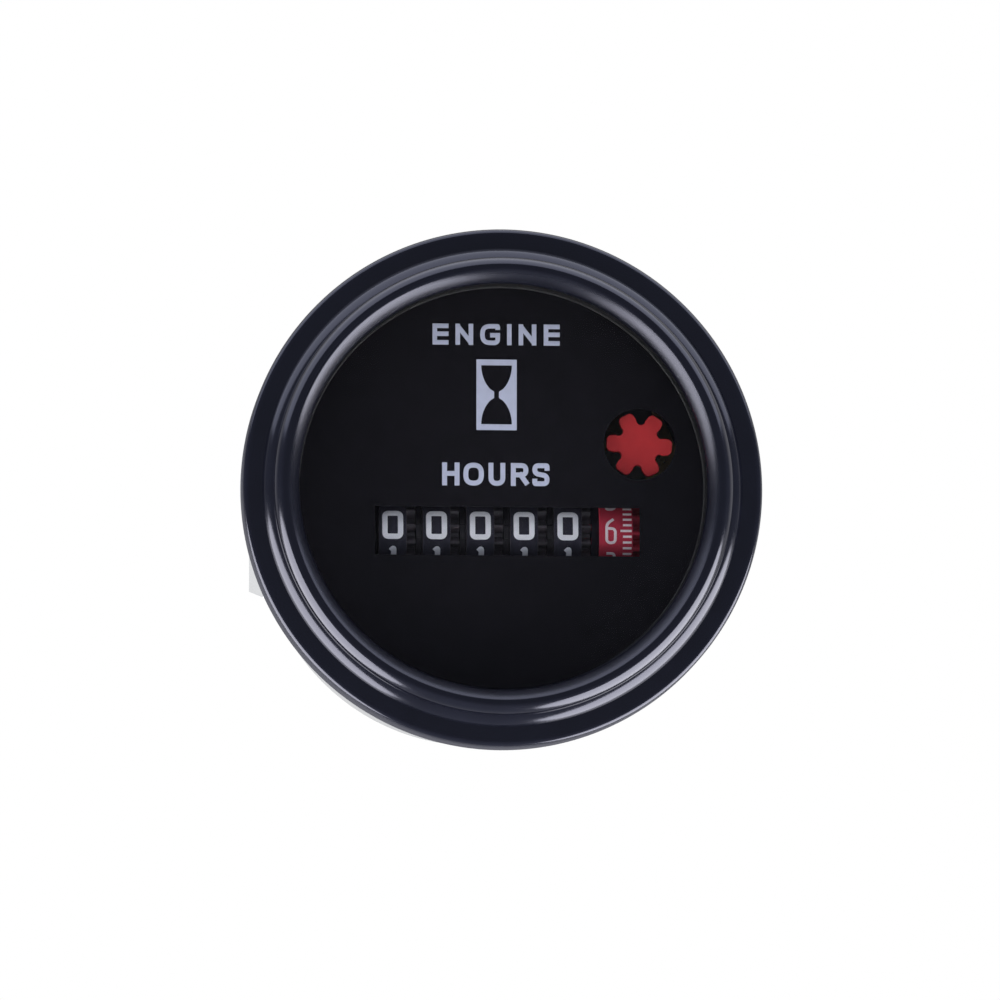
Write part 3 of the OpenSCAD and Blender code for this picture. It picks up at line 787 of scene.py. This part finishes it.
# %% Hourglass sign
SIGN_X = -0.6
SIGN_Z = 10.9
SIGN_WIDE = 4.66
SIGN_HIGH = 8.2
SIGN_CORNER = 0.1
SIGN_HALF_THICK = 0.012
NECK = 0.28
BULB = 1.77
BULB_TOP = 3.42
BULB_HIGH = 3.05
BULB_CURVE = 0.7
sweep = [k / 12 for k in range(13)]
bulb = [(NECK + (BULB - NECK) * (1 - t * t) ** BULB_CURVE, BULB_TOP - BULB_HIGH * t) for t in sweep]
half = bulb + [(x, -z) for x, z in reversed(bulb)]
whole = half + [(-x, -z) for x, z in half]
glass = [(SIGN_X + x, SIGN_Z + z) for x, z in whole]
border = rounded([(SIGN_X + x * SIGN_WIDE, SIGN_Z + z * SIGN_HIGH) for x, z in box], SIGN_CORNER, True)
sign = bpy.data.curves.new("hourglass_sign", "CURVE")
sign.dimensions = "2D"
sign.fill_mode = "BOTH"
sign.extrude = SIGN_HALF_THICK * MM
on_dial(meshed(sign, [(border, True), (glass, True)]), "hourglass_sign")
print("hourglass printed")

# %% [markdown]
# ## Run indicator
# The star is a small moulded wheel with six teeth. Its tooth corners are
# generously rounded and its front edge has a fine radius, which shows as a
# paler line round the red. The flat front is shaded flat, as it is moulded.

# %% Star
STAR_X = 15.96
STAR_Z = 5.33
TOOTH_TIP = 3.6
TOOTH_ROUND = 0.42
FRONT_ROUND = 0.1
UPRIGHT = 0.5
FACING = 0.99


def is_tooth_corner(edge):
    along = edge.verts[0].co - edge.verts[1].co
    middle = (edge.verts[0].co + edge.verts[1].co) / 2
    far = math.hypot(middle.x - STAR_X * MM, middle.z - STAR_Z * MM)
    return abs(along.y) > UPRIGHT * MM and far > TOOTH_TIP * MM and edge.calc_face_angle() > HARD_EDGE


def star():
    bm = welded("run_indicator")
    corners = [edge for edge in bm.edges if is_tooth_corner(edge)]
    bmesh.ops.bevel(
        bm, geom=corners, offset=TOOTH_ROUND * MM, segments=5, profile=0.5, affect="EDGES", material=-1,
    )
    front = min(vert.co.y for vert in bm.verts)
    front_edges = [
        edge for edge in bm.edges
        if edge.calc_face_angle() > HARD_EDGE
        and all(abs(vert.co.y - front) < CAD_WELD for vert in edge.verts)
    ]
    bmesh.ops.bevel(
        bm, geom=front_edges, offset=FRONT_ROUND * MM, segments=3, profile=0.5, affect="EDGES",
        material=-1, clamp_overlap=True,
    )
    bmesh.ops.remove_doubles(bm, verts=bm.verts, dist=CAD_WELD)
    piece = keep_for("run_indicator", bm, "star_wheel", "star_red", "indicator")
    for face in piece.data.polygons:
        face.use_smooth = abs(face.normal.y) < FACING


star()
print("star rounded")

# %% [markdown]
# ## Studio
# The photograph has a white ground behind the meter and a dark room in front.
# The world is white to the camera, and gloss and glass see that white where
# they look away from the dark room. It stays dim for the light that falls on
# the object, so that a colour renders about as it is written.


# %% A helper for what sees the white ground
def sees_white(tree, behind):
    path = tree.nodes.new("ShaderNodeLightPath")
    glossy = joined(tree, "MULTIPLY", path.outputs["Is Glossy Ray"], behind)
    clear = joined(tree, "MAXIMUM", path.outputs["Is Camera Ray"], path.outputs["Is Transmission Ray"])
    return joined(tree, "MAXIMUM", clear, glossy)


# %% World
ROOM_COLOUR = (0.8, 0.86, 1.0, 1)
ROOM_STRENGTH = 0.3
GROUND_COLOUR = (1, 1, 1, 1)
GROUND_STRENGTH = 1.0
GROUND_START = 0.05
GROUND_FULL = 0.25
scene = bpy.context.scene
world = bpy.data.worlds.new("studio")
scene.world = world
world.use_nodes = True
tree = world.node_tree
tree.nodes.clear()
out = tree.nodes.new("ShaderNodeOutputWorld")
room = tree.nodes.new("ShaderNodeBackground")
room.inputs["Color"].default_value = ROOM_COLOUR
room.inputs["Strength"].default_value = ROOM_STRENGTH
white = tree.nodes.new("ShaderNodeBackground")
white.inputs["Color"].default_value = GROUND_COLOUR
white.inputs["Strength"].default_value = GROUND_STRENGTH
print("room strength", ROOM_STRENGTH)

# %% White ground behind the meter
direction = tree.nodes.new("ShaderNodeTexCoord")
parts = tree.nodes.new("ShaderNodeSeparateXYZ")
tree.links.new(direction.outputs["Generated"], parts.inputs["Vector"])
below = tree.nodes.new("ShaderNodeMath")
below.operation = "MINIMUM"
below.inputs[1].default_value = 0.0
tree.links.new(parts.outputs["Z"], below.inputs[0])
backward = joined(tree, "ADD", parts.outputs["Y"], below.outputs["Value"])
mix = tree.nodes.new("ShaderNodeMixShader")
tree.links.new(sees_white(tree, faded(tree, backward, GROUND_START, GROUND_FULL)), mix.inputs["Fac"])
tree.links.new(room.outputs["Background"], mix.inputs[1])
tree.links.new(white.outputs["Background"], mix.inputs[2])
tree.links.new(mix.outputs["Shader"], out.inputs["Surface"])
print("ground strength", GROUND_STRENGTH)

# %% [markdown]
# ## Floor
# The meter hangs above a wide sheet of white paper. To the camera and to clear
# pieces the paper is as white as the ground behind it, and gloss sees it white
# only behind the meter, so that the bezel's lower side stays dark.

# %% Floor
FLOOR_Z = -1.2
FLOOR_SIZE = 15
PAPER_FULL = 0.6
PAPER_IN_GLOSS = 0.9
sheet = bmesh.new()
bmesh.ops.create_grid(sheet, x_segments=2, y_segments=2, size=FLOOR_SIZE)
bmesh.ops.translate(sheet, verts=sheet.verts, vec=(0, 0, FLOOR_Z))
floor_mesh = bpy.data.meshes.new("floor")
sheet.to_mesh(floor_mesh)
sheet.free()
paper = finish("floor_paper", colour=(0.86, 0.86, 0.86), rough=0.9, grain=40, tint=0.01, bump=0.05)
floor_mesh.materials.append(paper)
floor = bpy.data.objects.new("floor", floor_mesh)
scene.collection.objects.link(floor)
print("floor at", FLOOR_Z, "m")

# %% White of the paper
paper_tree = paper.node_tree
paper_place = paper_tree.nodes.new("ShaderNodeTexCoord")
paper_parts = paper_tree.nodes.new("ShaderNodeSeparateXYZ")
paper_tree.links.new(paper_place.outputs["Object"], paper_parts.inputs["Vector"])
behind = faded(paper_tree, paper_parts.outputs["Y"], 0.0, PAPER_FULL, PAPER_IN_GLOSS)
shine = paper_tree.nodes.new("ShaderNodeEmission")
shine.inputs["Strength"].default_value = GROUND_STRENGTH
paper_mix = paper_tree.nodes.new("ShaderNodeMixShader")
paper_tree.links.new(sees_white(paper_tree, behind), paper_mix.inputs["Fac"])
paper_tree.links.new(paper_tree.nodes["Principled BSDF"].outputs["BSDF"], paper_mix.inputs[1])
paper_tree.links.new(shine.outputs["Emission"], paper_mix.inputs[2])
paper_tree.links.new(paper_mix.outputs["Shader"], paper_tree.nodes["Material Output"].inputs["Surface"])
print("paper seen white")

# %% [markdown]
# ## Lights
# Two soft lights low on either side give the bezel its pointed highlights, and
# an oval light has just such ends. A long bluish one lights the meter from
# above. Each stands at a clock angle round the meter's axis and an angle off
# that axis, and faces the meter.

# %% Lights
WHITE = (1, 1, 1)
COOL = (0.84, 0.88, 1)


def soft_light(name, shape, clock, off_axis, far, size, power, colour):
    data = bpy.data.lights.new(name, "AREA")
    data.shape = shape
    data.size = size[0]
    data.size_y = size[1]
    data.energy = power
    data.color = colour
    lamp = bpy.data.objects.new(name, data)
    scene.collection.objects.link(lamp)
    turn = math.radians(clock)
    tilt = math.radians(off_axis)
    aim = Vector((math.cos(turn) * math.sin(tilt), -math.cos(tilt), math.sin(turn) * math.sin(tilt)))
    across = Vector((-math.sin(turn), 0, math.cos(turn)))
    lamp.location = aim * far
    lamp.rotation_euler = Matrix((across, aim.cross(across), aim)).transposed().to_euler()
    lamp.visible_camera = False
    print("light", name, power, "W")


soft_light("lower_left", "ELLIPSE", 213, 85, far=0.42, size=(0.5, 0.33), power=3.7, colour=WHITE)
soft_light("lower_right", "ELLIPSE", 318, 85, far=0.42, size=(0.58, 0.33), power=4.4, colour=WHITE)
soft_light("above", "RECTANGLE", 90, 84, far=0.8, size=(4.2, 0.8), power=22, colour=COOL)

# %% [markdown]
# ## Camera
# A long lens from a little below and to the left, with the bezel 519 pixels
# wide in a picture of 1000.

# %% Camera
CAMERA_LENS = 375.9
CAMERA_SENSOR = 36
CAMERA_SIDE = math.radians(-4.3)
CAMERA_LIFT = math.radians(-6.8)
CAMERA_FAR = 1.2
CAMERA_TARGET = (-0.27, -4.5, -1.4)
camera_data = bpy.data.cameras.new("camera")
camera_data.sensor_width = CAMERA_SENSOR
camera_data.lens = CAMERA_LENS
camera_data.clip_start = 0.05
camera_data.clip_end = 20
camera = bpy.data.objects.new("camera", camera_data)
scene.collection.objects.link(camera)
scene.camera = camera
across = math.cos(CAMERA_LIFT)
back = Vector((math.sin(CAMERA_SIDE) * across, -math.cos(CAMERA_SIDE) * across, math.sin(CAMERA_LIFT)))
camera.location = Vector(CAMERA_TARGET) * MM + back * CAMERA_FAR
camera.rotation_euler = back.to_track_quat("Z", "Y").to_euler()
scene.view_settings.view_transform = "Standard"
print("camera at", camera.location)
